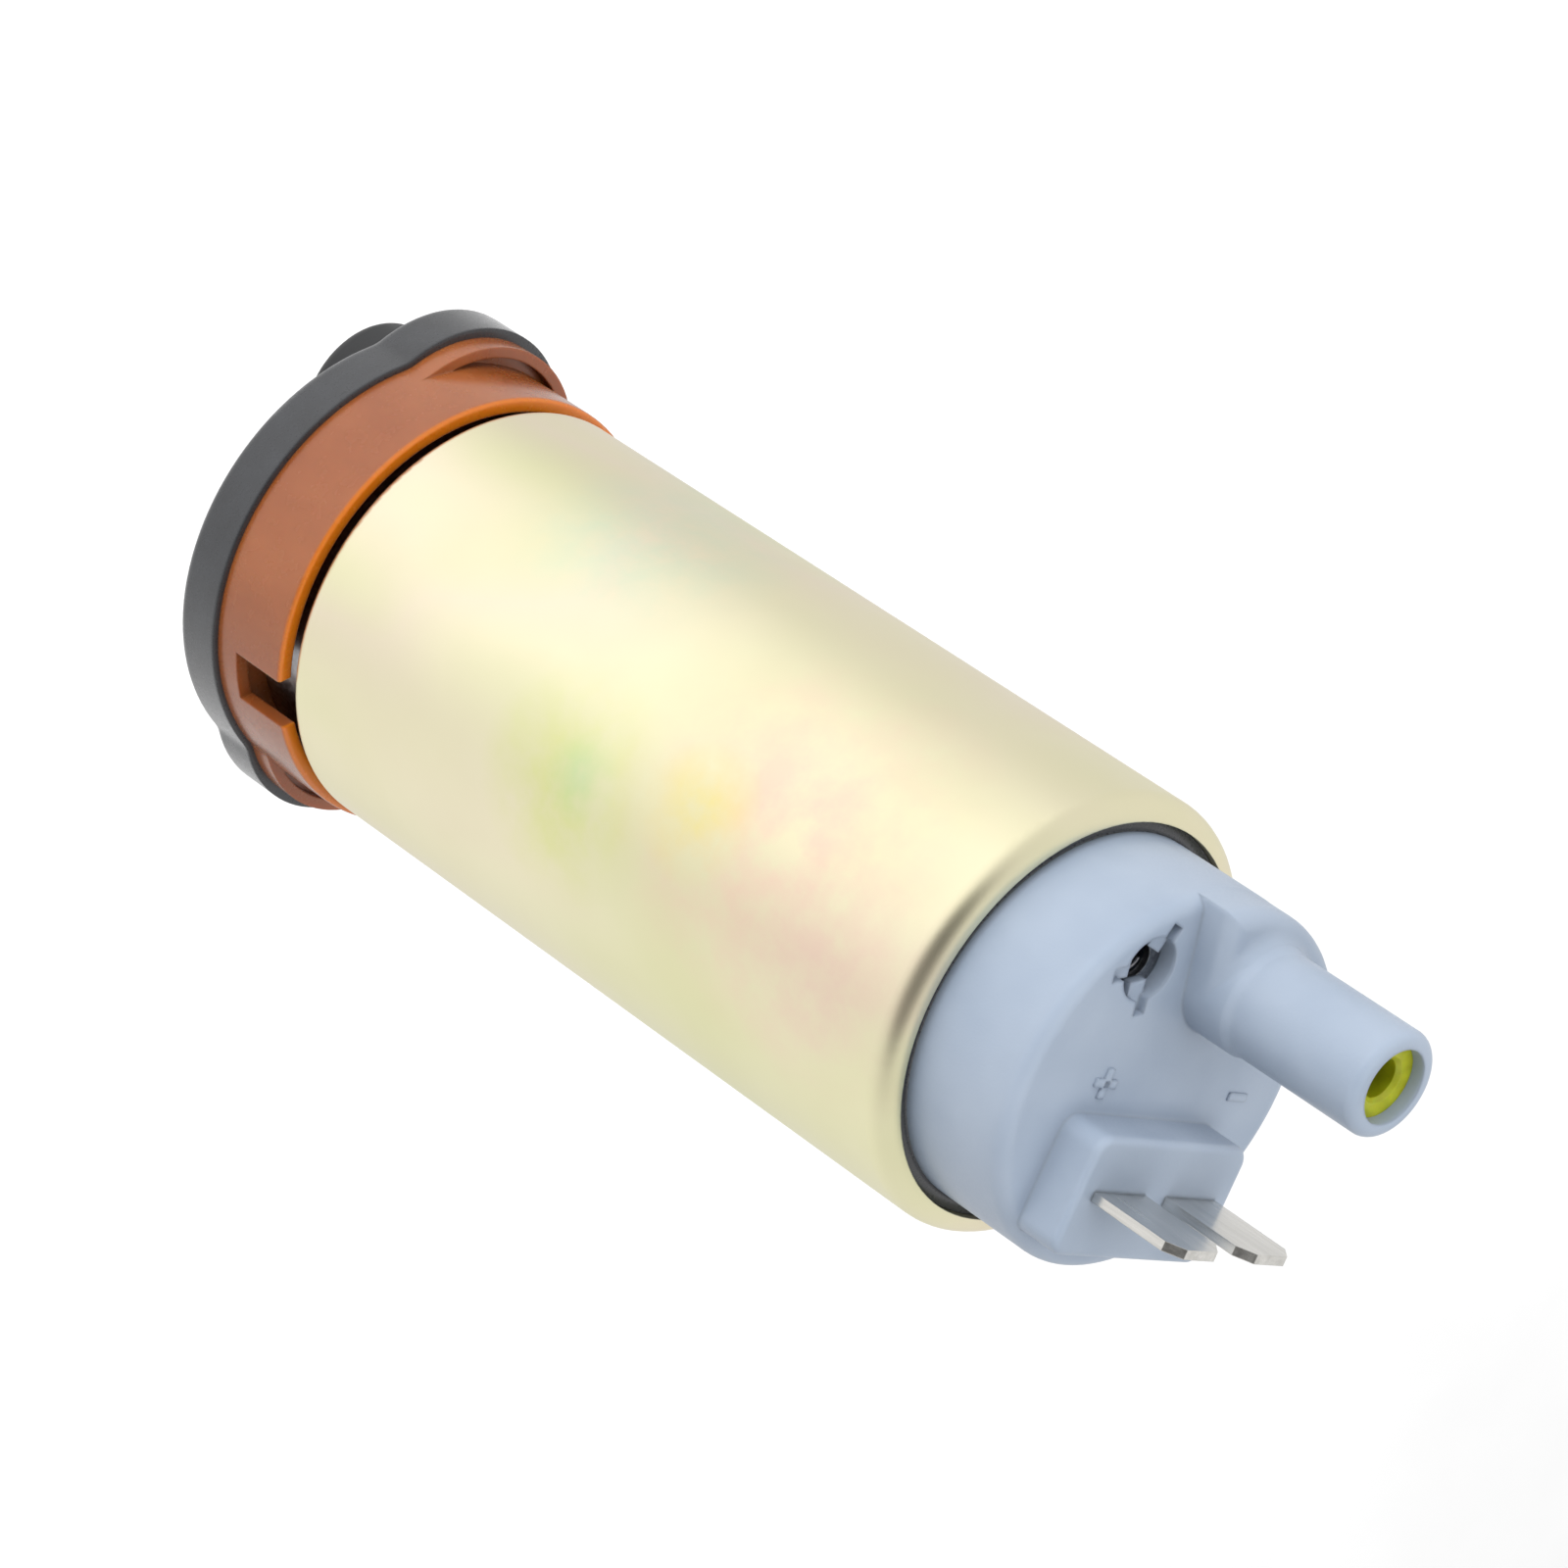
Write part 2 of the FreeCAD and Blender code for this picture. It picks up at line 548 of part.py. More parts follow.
def end_turn(z0, z1, rounded_up):
    """A ring of crossing wire, bevelled where it is away from the laminations."""
    outer = tube(WINDING_OUTER_R, WINDING_INNER_R, z0, z1)
    height = z1 if rounded_up else z0
    rims = [edge for edge in outer.Edges if abs(edge.BoundBox.ZMin - height) < 1e-4
            and abs(edge.BoundBox.ZMax - height) < 1e-4]
    return outer.makeChamfer(WINDING_CORNER, rims)


def armature_winding():
    """Copper winding: what fills the slots, and the end turns below and above them."""
    winding = end_turn(Z_CORE - LOWER_END_TURN, Z_CORE, False)
    posts = slot_posts(SLOT_R - SEATED, Z_CORE - 0.5, Z_CORE_TOP + 0.5)
    return winding.fuse(posts + [end_turn(Z_CORE_TOP, Z_COMMUTATOR, True)])


def commutator():
    """Face commutator: a moulded disc whose top is slotted into segments."""
    disc = tube(COMMUTATOR_R, SHAFT_R, Z_COMMUTATOR, Z_COMMUTATOR_TOP)
    half = COMMUTATOR_SLOT / 2
    z_slot = Z_COMMUTATOR_TOP - COMMUTATOR_SLOT_DEPTH
    slot = block(COMMUTATOR_HUB_R, COMMUTATOR_R + 1, -half, half, z_slot, Z_COMMUTATOR_TOP)
    return disc.cut([turned_about_z(slot, 360.0 * (n + 0.5) / SLOT_COUNT) for n in range(SLOT_COUNT)])


def magnet(azimuth):
    """Curved ferrite magnet that fits the can."""
    return sector(CORE_FIT_R, MAGNET_INNER_R, Z_MAGNET, Z_MAGNET_TOP, MAGNET_SPAN, azimuth)


def magnet_clip(azimuth):
    """Sheet spring bent to a U, which pushes the two magnets apart."""
    leg_span = math.degrees(CLIP_SHEET / CORE_FIT_R)
    inner = CORE_FIT_R - CLIP_LEG
    clip = sector(CORE_FIT_R, inner, Z_MAGNET, Z_MAGNET_TOP, CLIP_SPAN, azimuth)
    hollow = sector(CORE_FIT_R - CLIP_SHEET, inner - 1, Z_MAGNET, Z_MAGNET_TOP, CLIP_SPAN - 2 * leg_span, azimuth)
    return clip.cut(hollow)


def brush(side):
    """Carbon brush, pressed end-on against the commutator."""
    return block(side * BRUSH_X - BRUSH_WIDE / 2, side * BRUSH_X + BRUSH_WIDE / 2,
                 -BRUSH_DEEP / 2, BRUSH_DEEP / 2, Z_BRUSH, Z_BRUSH_TOP)


def brush_spring(side):
    return coil_spring(BRUSH_SPRING_R, BRUSH_SPRING_WIRE, BRUSH_SPRING_TURNS,
                       Z_BRUSH_TOP, Z_BRUSH_CAP, side * BRUSH_X, 0)


def brush_lead(side):
    """Copper lead from the choke, round to the slot in the brush's guide."""
    z_end = Z_BRUSH_TOP - LEAD_SET_DOWN
    path = [V(side * BLADE_X, BLADE_Y, Z_CHOKE), V(side * BLADE_X, BLADE_Y, z_end),
            V(side * BRUSH_X, BLADE_Y, z_end), V(side * BRUSH_X, -BRUSH_DEEP / 2 - 0.3, z_end)]
    lead = Part.makeSphere(LEAD_R, path[1])
    lead = lead.fuse(Part.makeSphere(LEAD_R, path[2]))
    for start, end in zip(path, path[1:]):
        run = end.sub(start)
        lead = lead.fuse(Part.makeCylinder(LEAD_R, run.Length, start, run))
    return lead.removeSplitter()


def choke_core(side):
    """Ferrite rod of the suppression choke."""
    return cylinder(CHOKE_ROD_R, Z_CHOKE, Z_TERMINAL, side * BLADE_X, BLADE_Y)


def choke_coil(side):
    """Wire wound on the rod."""
    return tube(CHOKE_COIL_R, CHOKE_ROD_R, Z_CHOKE + CHOKE_END, Z_TERMINAL - CHOKE_END, side * BLADE_X, BLADE_Y)


def terminal(side):
    """Stamped blade terminal: narrow stem inside, chamfered tab outside."""
    x = side * BLADE_X
    half = BLADE_WIDE / 2
    z_shoulder = Z_FACE + 1.0
    outline = [(-STEM_WIDE / 2, Z_TERMINAL), (STEM_WIDE / 2, Z_TERMINAL), (STEM_WIDE / 2, z_shoulder),
               (half, z_shoulder), (half, Z_BLADE_TIP - BLADE_CHAMFER), (half - BLADE_CHAMFER, Z_BLADE_TIP),
               (BLADE_CHAMFER - half, Z_BLADE_TIP), (-half, Z_BLADE_TIP - BLADE_CHAMFER), (-half, z_shoulder),
               (-STEM_WIDE / 2, z_shoulder), (-STEM_WIDE / 2, Z_TERMINAL)]
    wire = Part.makePolygon([V(x + a, BLADE_Y - BLADE_THICK / 2, z) for a, z in outline])
    return Part.Face(wire).extrude(V(0, BLADE_THICK, 0))


def cover_seal():
    """Rubber ring between the cover and the rolled lip of the can."""
    top = Z_LIP - 0.5
    return turned(
        (COVER_R + SEATED, Z_FLANGE),
        (TOP_LIP_R - SLIP, Z_FLANGE),
        (TOP_LIP_R - SLIP, top - SEAL_BEVEL),
        (COVER_R + SEATED, top),
    )


def cover_shell():
    """Outside of the moulded cover: skirt in the can, seal flange, round body and flat face."""
    edge = (COVER_R - COVER_EDGE_R, Z_FACE - COVER_EDGE_R)
    shell = turned(
        (0, Z_SKIRT),
        (SKIRT_R, Z_SKIRT),
        (SKIRT_R, Z_FLANGE),
        (COVER_R, Z_FLANGE),
        (COVER_R, edge[1]),
        (around(edge, COVER_EDGE_R, 45), (edge[0], Z_FACE)),
        (0, Z_FACE),
    )
    shell = shell.cut(cylinder(ROOM_R, Z_SKIRT, Z_ROOM_STEP))
    return shell.cut(cylinder(UPPER_ROOM_R, Z_ROOM_STEP, Z_ROOF))


def terminal_block():
    """Raised block round the terminals, with rounded corners."""
    body = block(-BLOCK_HALF, BLOCK_HALF, BLOCK_Y[0], BLOCK_Y[1], Z_ROOF + 1, Z_BLOCK_TOP)
    corners = [edge for edge in body.Edges if edge.BoundBox.ZLength > 1]
    body = body.makeFillet(BLOCK_CORNER_R, corners)
    top = [edge for edge in body.Edges if edge.BoundBox.ZMin > Z_BLOCK_TOP - 1e-4]
    return body.makeFillet(BLOCK_TOP_R, top)


def spigot():
    """Outlet tube with a rounded tip."""
    tip = (SPIGOT_R - SPIGOT_TIP_R, Z_SPIGOT_TIP - SPIGOT_TIP_R)
    body = turned(
        (0, Z_ROOF + 1),
        (SPIGOT_R, Z_ROOF + 1),
        (SPIGOT_R, tip[1]),
        (around(tip, SPIGOT_TIP_R, 45), (tip[0], Z_SPIGOT_TIP)),
        (0, Z_SPIGOT_TIP),
    )
    body.translate(V(SPIGOT_X, SPIGOT_Y, 0))
    return body


def foot_prism(z0, z1):
    """Upright wedge that opens from the spigot's two sides to the rim of the cover."""
    outward = math.degrees(math.atan2(SPIGOT_Y, SPIGOT_X))
    radius = SPIGOT_R + FOOT_MARGIN
    corners = []
    for side in (1, -1):
        along = math.radians(outward + side * FOOT_HALF_ANGLE)
        across = math.radians(outward + side * (FOOT_HALF_ANGLE + 90))
        near = V(SPIGOT_X + radius * math.cos(across), SPIGOT_Y + radius * math.sin(across), z0)
        corners += [near, near + V(math.cos(along), math.sin(along), 0) * COVER_R]
    ring = [corners[0], corners[1], corners[3], corners[2], corners[0]]
    return Part.Face(Part.makePolygon(ring)).extrude(V(0, 0, z1 - z0))


def spigot_foot():
    """Raised foot between the spigot and the rim of the cover, rounded over on its three outer sides."""
    z_top = Z_FACE + FOOT_RISE
    foot = foot_prism(Z_ROOF + 1, z_top).common(cylinder(COVER_R - SLIP, Z_ROOF, z_top))
    rims = [edge for edge in foot.Edges if edge.BoundBox.ZMin > z_top - 1e-4
            and spigot_distance(edge) > SPIGOT_R]
    return foot.makeFillet(FOOT_ROUND_R, rims)


def spigot_distance(edge):
    """How far the middle of an edge lies from the spigot's axis."""
    middle = edge.valueAt((edge.FirstParameter + edge.LastParameter) / 2)
    return math.hypot(middle.x - SPIGOT_X, middle.y - SPIGOT_Y)


def footed_spigot():
    """The spigot on its foot, with a concave flare between them."""
    body = spigot().fuse(spigot_foot()).removeSplitter()
    creases = [edge for edge in body.Edges if abs(spigot_distance(edge) - SPIGOT_R) < 1e-3
               and edge.BoundBox.ZMin > Z_FACE and edge.BoundBox.ZMax < Z_FACE + FOOT_RISE + 1e-3
               and edge.BoundBox.ZLength < FOOT_ROUND_R]
    body = body.makeFillet(FOOT_FLARE_R, creases)
    z_top = Z_FACE + FOOT_RISE + FOOT_FLARE_R
    root = turned(
        (0, Z_ROOF + 1),
        (SPIGOT_R + FOOT_MARGIN, Z_ROOF + 1),
        (SPIGOT_R + FOOT_MARGIN, z_top - ROOT_TAPER),
        (SPIGOT_R, z_top),
        (0, z_top),
    )
    root.translate(V(SPIGOT_X, SPIGOT_Y, 0))
    return body.fuse(root).removeSplitter()


def relief_boss():
    """Thick-walled cup under the face for the relief valve."""
    radius = RELIEF_R + RELIEF_BOSS_WALL
    cup = cylinder(radius, Z_RELIEF_SEAT - RELIEF_BOSS_FLOOR, Z_ROOF + 1, RELIEF_X, RELIEF_Y)
    return cup.common(cylinder(COVER_R - 0.1, Z_ROOM_STEP, Z_FACE))


def brush_guide(side):
    """Square tube that guides a brush, hung from the roof."""
    x = side * BRUSH_X
    wide = BRUSH_TUBE_X + BRUSH_TUBE_WALL
    deep = BRUSH_TUBE_Y + BRUSH_TUBE_WALL
    return block(x - wide, x + wide, -deep, deep, Z_BRUSH + BRUSH_SHOW, Z_ROOF + 1)


def brush_pocket(side):
    """The space in a guide, with the slot that the lead passes through."""
    x = side * BRUSH_X
    pocket = block(x - BRUSH_TUBE_X, x + BRUSH_TUBE_X, -BRUSH_TUBE_Y, BRUSH_TUBE_Y,
                   Z_BRUSH + BRUSH_SHOW, Z_BRUSH_CAP)
    slot = LEAD_R + 0.35
    deep = BRUSH_TUBE_Y + BRUSH_TUBE_WALL + 1
    return pocket.fuse(block(x - slot, x + slot, -deep, 0, Z_BRUSH + BRUSH_SHOW, Z_BRUSH_CAP - BRUSH_TUBE_CAP))


def relief_tab(azimuth):
    """One staked finger that leans in over the spring's ring."""
    finger = block(RELIEF_R - TAB_REACH, RELIEF_R + 0.4, -TAB_WIDE / 2, TAB_WIDE / 2,
                   Z_RELIEF_RING_TOP, Z_RELIEF_RING_TOP + TAB_THICK)
    finger = turned_about_z(finger, azimuth)
    finger.translate(V(RELIEF_X, RELIEF_Y, 0))
    return finger


def relief_notch(azimuth):
    """Square pit left beside the bore by the staking tool."""
    half = NOTCH_SIDE / 2
    pit = block(RELIEF_R - 0.2, RELIEF_R + NOTCH_SIDE, -half, half,
                Z_RELIEF_RING_TOP + TAB_THICK, Z_FACE + FOOT_RISE)
    pit = turned_about_z(pit, azimuth)
    pit.translate(V(RELIEF_X, RELIEF_Y, 0))
    return pit


def outlet_cover(terminals):
    """The whole moulding: shell, block, spigot, bosses and guides, then every bore in it."""
    solids = [terminal_block(), footed_spigot(), relief_boss(), brush_guide(-1), brush_guide(1)]
    bearing_wall = UPPER_BEARING_R + BEARING_BOSS_WALL
    solids.append(cylinder(bearing_wall, Z_UPPER_BEARING - 0.5, Z_ROOF + 1))
    cover = cover_shell().fuse(solids).removeSplitter()
    bores = [brush_pocket(-1), brush_pocket(1)]
    z_bearing_top = Z_UPPER_BEARING + UPPER_BEARING_LENGTH
    bores.append(cylinder(UPPER_BEARING_R, Z_UPPER_BEARING - 0.5, z_bearing_top))
    bores.append(cylinder(SHAFT_R + SHAFT_HOLE_GAP, z_bearing_top, Z_SHAFT_TOP + 1))
    bores.append(cylinder(VALVE_SEAT_R, Z_ROOF, Z_VALVE_SEAT, SPIGOT_X, SPIGOT_Y))
    bores.append(cylinder(SPIGOT_BORE_R, Z_VALVE_SEAT, Z_SPIGOT_TIP, SPIGOT_X, SPIGOT_Y))
    bores.append(cylinder(RELIEF_PORT_R, Z_RELIEF_SEAT - RELIEF_BOSS_FLOOR, Z_RELIEF_SEAT, RELIEF_X, RELIEF_Y))
    bores.append(cylinder(RELIEF_R, Z_RELIEF_SEAT, Z_FACE + FOOT_RISE, RELIEF_X, RELIEF_Y))
    bores += [relief_notch(azimuth) for azimuth in TAB_AZ]
    cover = cover.cut(bores)
    cover = cover.fuse([relief_tab(azimuth) for azimuth in TAB_AZ]).removeSplitter()
    return cover.cut(terminals)


def check_valve_poppet():
    """Mushroom valve: nose in the seat, flat head, guide stem."""
    head_top = Z_POPPET + POPPET_HEAD
    nose_r = VALVE_SEAT_R - 0.3
    poppet = turned(
        (0, Z_POPPET - POPPET_NOSE),
        (nose_r / 2, Z_POPPET - POPPET_NOSE),
        (nose_r, Z_POPPET),
        (POPPET_R, Z_POPPET),
        (POPPET_R, head_top - 0.5),
        (POPPET_R - 0.5, head_top),
        (POPPET_STEM_R, head_top),
        (POPPET_STEM_R, head_top + POPPET_STEM_LENGTH),
        (0, head_top + POPPET_STEM_LENGTH),
    )
    poppet.translate(V(SPIGOT_X, SPIGOT_Y, 0))
    return poppet


def check_valve_retainer():
    """Coloured insert pressed into the spigot, which stops the spring and guides the stem."""
    chamfer = 0.35
    insert = turned(
        (RETAINER_BORE_R, Z_RETAINER),
        (SPIGOT_BORE_R, Z_RETAINER),
        (SPIGOT_BORE_R, Z_RETAINER_TOP),
        (RETAINER_BORE_R + chamfer, Z_RETAINER_TOP),
        (RETAINER_BORE_R, Z_RETAINER_TOP - chamfer),
    )
    insert.translate(V(SPIGOT_X, SPIGOT_Y, 0))
    return insert


def check_valve_spring():
    return coil_spring(CHECK_SPRING_R - CHECK_SPRING_WIRE / 2, CHECK_SPRING_WIRE, CHECK_SPRING_TURNS,
                       Z_POPPET + POPPET_HEAD, Z_RETAINER, SPIGOT_X, SPIGOT_Y)


def ball_centre():
    """Height at which the ball rests on the edge of its port."""
    return Z_RELIEF_SEAT + math.sqrt(RELIEF_BALL_R ** 2 - RELIEF_PORT_R ** 2) + VALVE_SEAT_GAP


def relief_valve_ball():
    return Part.makeSphere(RELIEF_BALL_R, V(RELIEF_X, RELIEF_Y, ball_centre()))


def relief_valve_spring():
    reach = RELIEF_SPRING_R - RELIEF_SPRING_WIRE / 2
    z0 = ball_centre() + math.sqrt(RELIEF_BALL_R ** 2 - reach ** 2) + SEATED
    return coil_spring(RELIEF_SPRING_R, RELIEF_SPRING_WIRE, RELIEF_SPRING_TURNS,
                       z0, Z_RELIEF_RING, RELIEF_X, RELIEF_Y)


def relief_valve_ring():
    return tube(RELIEF_R - SEATED, RELIEF_RING_BORE_R, Z_RELIEF_RING, Z_RELIEF_RING_TOP, RELIEF_X, RELIEF_Y)


def build():
    save("can", can())
    save("base_pad", base_pad())
    save("inlet_collar", inlet_collar())
    save("inlet_neck", inlet_neck())
    save("inlet_cover", inlet_cover())
    save("thrust_button", thrust_button())
    save("impeller", impeller())
    save("pump_plate", pump_plate())
    save("lower_bearing", lower_bearing())
    save("upper_bearing", upper_bearing())
    save("motor_shaft", motor_shaft())
    save("armature_core", armature_core())
    save("armature_winding", armature_winding())
    save("commutator", commutator())
    for name, azimuth in (("right", 0.0), ("left", 180.0)):
        save("magnet_" + name, magnet(azimuth))
    for name, azimuth in (("front", -90.0), ("back", 90.0)):
        save("magnet_clip_" + name, magnet_clip(azimuth))
    terminals = []
    for name, side in (("positive", -1), ("negative", 1)):
        save("brush_" + name, brush(side))
        save("brush_spring_" + name, brush_spring(side))
        save("brush_lead_" + name, brush_lead(side))
        save("choke_core_" + name, choke_core(side))
        save("choke_coil_" + name, choke_coil(side))
        blade = terminal(side)
        terminals.append(blade)
        save("terminal_" + name, blade)
    save("outlet_cover", outlet_cover(terminals))
    save("cover_seal", cover_seal())
    save("check_valve_poppet", check_valve_poppet())
    save("check_valve_spring", check_valve_spring())
    save("check_valve_retainer", check_valve_retainer())
    save("relief_valve_ball", relief_valve_ball())
    save("relief_valve_spring", relief_valve_spring())
    save("relief_valve_ring", relief_valve_ring())


build()
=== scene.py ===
"""In-tank electric fuel pump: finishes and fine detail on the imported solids. Metres, +Z to the outlet."""
import json
import math

import bmesh
import bpy
from mathutils import Matrix, Vector


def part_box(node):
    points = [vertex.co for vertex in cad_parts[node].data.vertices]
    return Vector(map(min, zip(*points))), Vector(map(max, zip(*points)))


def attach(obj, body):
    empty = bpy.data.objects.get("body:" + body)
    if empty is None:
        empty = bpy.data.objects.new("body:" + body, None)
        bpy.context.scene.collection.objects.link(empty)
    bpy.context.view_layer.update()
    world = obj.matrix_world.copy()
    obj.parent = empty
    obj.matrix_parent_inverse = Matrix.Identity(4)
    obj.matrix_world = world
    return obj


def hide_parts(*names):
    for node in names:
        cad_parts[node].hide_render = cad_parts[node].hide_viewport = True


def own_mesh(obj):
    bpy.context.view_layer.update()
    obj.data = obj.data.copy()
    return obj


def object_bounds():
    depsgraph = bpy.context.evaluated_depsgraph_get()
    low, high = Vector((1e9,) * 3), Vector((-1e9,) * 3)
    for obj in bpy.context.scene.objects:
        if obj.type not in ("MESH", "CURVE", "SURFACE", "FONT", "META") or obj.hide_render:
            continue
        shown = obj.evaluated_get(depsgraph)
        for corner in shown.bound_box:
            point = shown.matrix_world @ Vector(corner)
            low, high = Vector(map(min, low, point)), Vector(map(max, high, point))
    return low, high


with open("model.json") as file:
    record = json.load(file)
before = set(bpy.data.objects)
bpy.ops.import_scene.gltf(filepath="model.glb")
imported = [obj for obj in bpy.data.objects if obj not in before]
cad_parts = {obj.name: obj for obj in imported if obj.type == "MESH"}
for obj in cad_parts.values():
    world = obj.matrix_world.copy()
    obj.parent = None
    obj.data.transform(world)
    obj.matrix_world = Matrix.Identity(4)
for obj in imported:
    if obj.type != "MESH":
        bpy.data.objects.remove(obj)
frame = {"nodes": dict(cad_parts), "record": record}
cad_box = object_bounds()
nodes = frame["nodes"]

MM = 0.001
LIP_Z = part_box("can")[1].z
CAN_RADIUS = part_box("can")[1].x
COLLAR_RIM_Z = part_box("inlet_collar")[1].z

# The photograph's pinhole camera, in the pump's own frame
CAMERA_FROM_LIP = Vector((-388.96, 117.61, 277.98)) * MM
CAMERA_RIGHT = Vector((0.64382, 0.39312, 0.65648))
CAMERA_DOWN = Vector((0.09345, -0.89191, 0.44246))
CAMERA_FORWARD = Vector((0.75946, -0.22352, -0.61096))
CAMERA_NEAR = 0.01
SENSOR_MM = 36.0
FOCAL_PX = 6565.6
IMAGE_PX = 1600.0

# Softboxes: name, metres from the can's middle to the camera's right, up and back, sides, and watts
SOFTBOXES = (
    ("key", (-0.075, 0.44, 0.615), (0.7, 0.6), 6.2),
    ("fill", (-0.42, -0.15, 0.5), (0.5, 0.5), 0.5),
    ("overhead", (0.36, -0.24, 0.34), (0.6, 0.6), 2.0))

# The room's brightness low down and high up, the sines of elevation between which it changes, and its least
ROOM_LOW = 0.86
ROOM_HIGH = 0.9
ROOM_CLIMB = (-0.35, 0.15)
ROOM_DARKEST = 0.12

# The room's lit and shaded sides: azimuth, elevation, core and edge in degrees, and gain
ROOM_SIDES = (
    (137, -38, 15, 56, 0.50),
    (250, -38, 10, 50, 0.15),
    (178, 39, 18, 47, -0.85))

# The floor's drop below the pump and its size, in metres
FLOOR_DROP = 60 * MM
FLOOR_SIZE = 3.0

# Patches of another tint on the can: azimuth in degrees, height, core and edge in mm, tint and strength
FILM_PATCHES = (
    (184, 47, 1, 10, "#DDE388", 0.9),
    (180, 48, 0, 4, "#BCE0C4", 0.6),
    (163, 68, 3, 18, "#F2CDBC", 0.75),
    (186, 78, 2, 12, "#EBCDBE", 0.6),
    (122, 37, 1, 13, "#CCE2C8", 0.65),
    (171, 60, 0, 6, "#EFE77A", 0.8),
    (-60, 40, 3, 15, "#DDE08A", 0.5),
    (20, 55, 3, 16, "#F2CDBE", 0.45),
    (60, 30, 2, 14, "#C3DCB8", 0.45))

# The painted glow on the collar's rim, a bright orange standing in for light that leaks through the wall:
# how far below the rim it starts and is full, in mm
PAINTED_RIM_GLOW_START_MM = 0.35
PAINTED_RIM_GLOW_FULL_MM = 0.05

# How a pattern is drawn out: along the pump's axis, round it, or into thin sheets across it
ALONG = (1, 1, 0.1)
AROUND = (0.15, 0.15, 1)
IN_SHEETS = (0.05, 0.05, 1)

# The part of its range that a pattern mostly fills, and the rays that round an edge
PATTERN_LOW = 0.3
PATTERN_HIGH = 0.7
EDGE_SAMPLES = 6

# Sockets of the Mix node, where several share a name
MIX_FACTOR = 0
MIX_VALUE_A = 2
MIX_VALUE_B = 3
MIX_VALUE = 0
MIX_COLOUR_A = 6
MIX_COLOUR_B = 7
MIX_COLOUR = 2

# Wound wire: sides of its section and steps in a turn; closed pitch and merge distance in wire widths
WIRE_SIDES = 10
TURN_STEPS = 28
CLOSED_PITCH = 1.02
WIRE_MERGE = 0.01

# Springs: node, wire in mm, open turns, the joint that lifts the lower end, and its travel in mm
SPRINGS = (
    ("brush_spring_positive", 0.35, 8, "brush_positive_slide", 4.0),
    ("brush_spring_negative", 0.35, 8, "brush_negative_slide", 4.0),
    ("check_valve_spring", 0.35, 4, "check_valve_lift", 2.5),
    ("relief_valve_spring", 0.4, 3, "relief_valve_lift", 1.2))
SPRING_END_TURNS = 1
CHOKE_WIRE_MM = 0.7
CHOKE_TURNS = 13.2
CHOKE_END_TURNS = 0.5

# The plus and minus, in mm: the face they stand on above the can's lip, their strokes, and their places
FACE_RISE_MM = 10.0
MARK_HEIGHT_MM = 0.5
MARK_STROKE_MM = 0.75
MARK_EDGE_MM = 0.09
PLUS_PLACE_MM = (-6.5, -0.3)
PLUS_LENGTH_MM = 2.6
MINUS_PLACE_MM = (10.2, -0.4)
MINUS_LENGTH_MM = 2.3
MINUS_SINK_MM = 0.05


def linear(hex_colour):
    """sRGB hex to the linear colour that a shader wants."""
    values = [int(hex_colour[i:i + 2], 16) / 255 for i in (1, 3, 5)]
    return [v / 12.92 if v <= 0.04045 else ((v + 0.055) / 1.055) ** 2.4 for v in values] + [1.0]


def add(tree, kind, settings=None, links=None):
    """Adds a node. A setting is one of its properties or else a socket's value; links feed its sockets."""
    made = tree.nodes.new(kind)
    for key, value in (settings or {}).items():
        if isinstance(key, str) and hasattr(made, key):
            setattr(made, key, value)
        else:
            made.inputs[key].default_value = value
    for key, source in (links or {}).items():
        tree.links.new(source, made.inputs[key])
    return made


def new_material(name):
    """An empty node material, its tree, and the point on the piece in object space."""
    material = bpy.data.materials.new(name)
    material.use_nodes = True
    tree = material.node_tree
    tree.nodes.clear()
    place = add(tree, "ShaderNodeTexCoord").outputs["Object"]
    return material, tree, place


def blotches(tree, place, size_mm, detail=3.0, roughness=0.55, squeeze=(1, 1, 1), shift=(0, 0, 0)):
    """A pattern of blotches about size_mm across."""
    mapped = add(tree, "ShaderNodeMapping", {"Scale": squeeze, "Location": shift}, {"Vector": place})
    settings = {"Scale": 1 / (size_mm * MM), "Detail": detail, "Roughness": roughness}
    return add(tree, "ShaderNodeTexNoise", settings, {"Vector": mapped.outputs[0]}).outputs["Fac"]


def tones(tree, pattern, stops):
    """The colours that a pattern takes, from (position, hex) pairs."""
    made = add(tree, "ShaderNodeValToRGB", {}, {"Fac": pattern})
    elements = made.color_ramp.elements
    while len(elements) < len(stops):
        elements.new(0.5)
    for element, (position, colour) in zip(elements, stops):
        element.position = position
        element.color = linear(colour)
    return made.outputs["Color"]


def gloss(tree, pattern, low, high):
    """Roughness that follows a pattern between two values."""
    settings = {"From Min": PATTERN_LOW, "From Max": PATTERN_HIGH, "To Min": low, "To Max": high}
    return add(tree, "ShaderNodeMapRange", settings, {"Value": pattern}).outputs["Result"]


def stain(tree, colour, amount, hex_colour):
    """The colour, mixed towards a hex colour by the amount."""
    settings = {"data_type": "RGBA", MIX_COLOUR_B: linear(hex_colour)}
    links = {MIX_FACTOR: amount, MIX_COLOUR_A: colour}
    return add(tree, "ShaderNodeMix", settings, links).outputs[MIX_COLOUR]


def near(tree, place, centre, inner_mm, outer_mm):
    """1 inside inner_mm of a point, falling to 0 at outer_mm."""
    distance = add(tree, "ShaderNodeVectorMath", {"operation": "DISTANCE", 1: centre}, {0: place})
    fall = {"From Min": inner_mm * MM, "From Max": outer_mm * MM, "To Min": 1, "To Max": 0}
    return add(tree, "ShaderNodeMapRange", fall, {"Value": distance.outputs["Value"]}).outputs["Result"]


